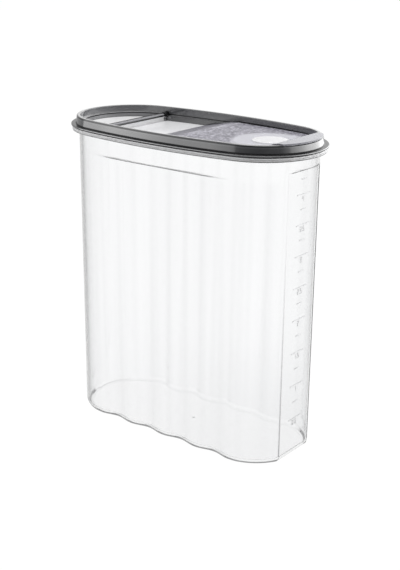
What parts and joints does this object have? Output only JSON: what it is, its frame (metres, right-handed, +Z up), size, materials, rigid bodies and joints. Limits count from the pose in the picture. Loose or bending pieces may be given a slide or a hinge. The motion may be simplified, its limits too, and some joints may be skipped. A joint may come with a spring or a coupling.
{
  "type": "cereal container",
  "caption": "Tall narrow clear container for dry food, with wavy long walls and a lift-off oval lid frame that holds a flip-up pouring door on a pin hinge.",
  "frame": {"origin": "under the middle of the base, on the surface it stands on", "axes": "+Z up, +X along the long side towards the pour end, +Y across the width"},
  "size_m": [0.243, 0.1182, 0.2707],
  "materials": {
    "container": "clear, polished",
    "lid_frame": "gloss",
    "rear_window": "clear, polished",
    "flip_door": "clear with a fine frosted grain"
  },
  "bodies": {
    "container": {"container": "container"},
    "lid": {"lid_frame": "lid_frame", "rear_window": "rear_window"},
    "door": {"flip_door": "flip_door"}
  },
  "joints": [
    {"name": "lid_lift", "type": "slide", "parent": "container", "child": "lid", "axis": [0, 0, 1], "range_m": [0, 0.06]},
    {"name": "door_hinge", "type": "hinge", "parent": "lid", "child": "door", "pos_m": [-0.069, 0, 0.2625], "axis": [0, -1, 0], "range_deg": [0, 100]}
  ]
}
